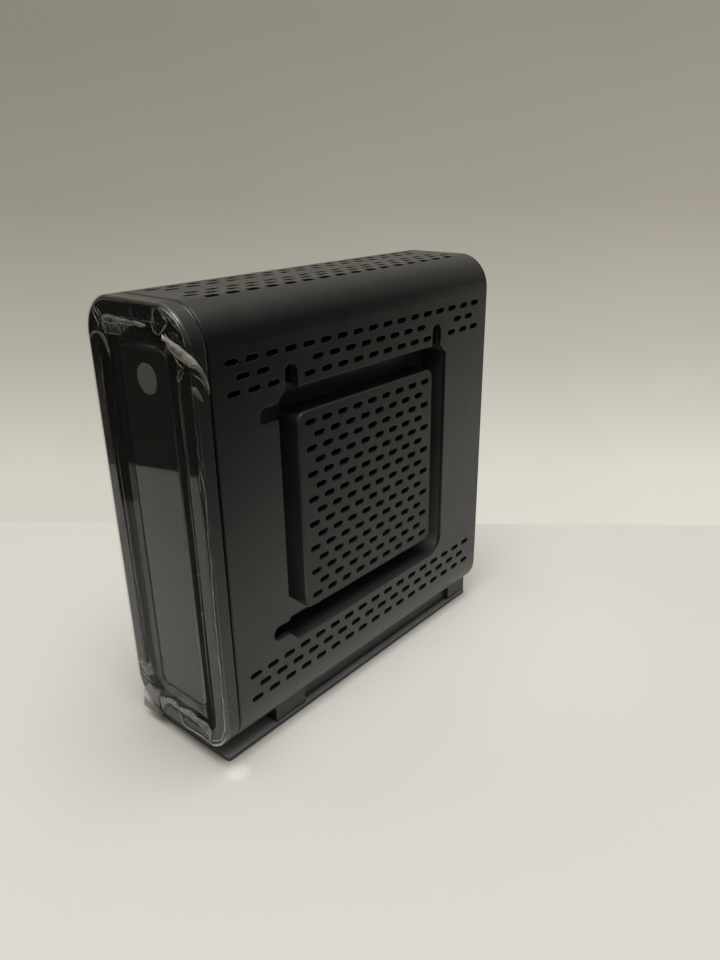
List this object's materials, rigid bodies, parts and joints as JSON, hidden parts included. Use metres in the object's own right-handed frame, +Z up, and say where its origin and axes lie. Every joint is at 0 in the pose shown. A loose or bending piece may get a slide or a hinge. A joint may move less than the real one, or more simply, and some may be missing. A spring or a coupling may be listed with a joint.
{
  "type": "cable modem",
  "caption": "Upright cable modem: slim vented housing with a gloss front frame, smoked lamp strip, wall-mount keyholes, coax, network and power ports, and a low base.",
  "frame": {"origin": "middle of the whole footprint, on the table the feet stand on", "axes": "+Z up, -Y the glossy front, +Y the connector side, +X the side with the wall-mount moat"},
  "size_m": [0.0436, 0.1384, 0.1349],
  "materials": {
    "matte_black": "fine matt texture",
    "gloss_black": "polished",
    "smoked_lens": "polished smoked panel",
    "badge_grey": "satin grey",
    "clear_film": "clear crinkled film",
    "rubber_dark": "matt",
    "board_green": "solder mask",
    "chip_black": "moulded epoxy",
    "steel": "zinc plated",
    "tin": "tin plated sheet",
    "aluminium": "extruded, clear",
    "thermal_grey": "soft pad",
    "gold": "gold plated",
    "nickel": "nickel plated",
    "white_plastic": "natural",
    "clear_plastic": "clear moulded",
    "foam_black": "foam",
    "ferrite": "sintered",
    "passive_tan": "ceramic",
    "label_grey": "printed film, blank",
    "adhesive": "adhesive tape",
    "button_white": "moulded"
  },
  "bodies": {
    "modem": {"right_shell": "matte_black", "left_shell": "matte_black", "rear_panel": "matte_black", "front_bezel": "gloss_black", "lens_adhesive": "adhesive", "front_lens": "smoked_lens", "badge_disc": "badge_grey", "protective_film": "clear_film", "led_lamps": "white_plastic", "light_pipe": "clear_plastic", "light_block": "foam_black", "base_stand": "matte_black", "foot_pads": "rubber_dark", "stand_screws": "steel", "case_screws": "steel", "rating_label": "label_grey", "main_pcb": "board_green", "pcb_screws": "steel", "soc_chip": "chip_black", "thermal_pad": "thermal_grey", "heatsink": "aluminium", "heatsink_pins": "white_plastic", "memory_chips": "chip_black", "flash_chip": "chip_black", "crystal": "tin", "support_chips": "chip_black", "power_inductors": "ferrite", "electrolytic_capacitors": "aluminium", "smd_passives": "passive_tan", "tuner_shield_frame": "tin", "tuner_shield_lid": "tin", "tuner_chip": "chip_black", "ethernet_jack_shell": "tin", "ethernet_jack_insert": "chip_black", "ethernet_contacts": "gold", "ethernet_transformer": "chip_black", "coax_body": "nickel", "coax_washer": "nickel", "coax_nut": "nickel", "coax_insulator": "white_plastic", "coax_contact": "gold", "dc_jack_body": "chip_black", "dc_jack_pin": "nickel", "dc_jack_spring": "nickel", "reset_switch_body": "chip_black"},
    "reset": {"reset_button": "button_white"}
  },
  "joints": [
    {"name": "reset_press", "type": "slide", "parent": "modem", "child": "reset", "axis": [0, -1, 0], "range_m": [0, 0.0003], "stiffness_N_per_m": 2000}
  ]
}
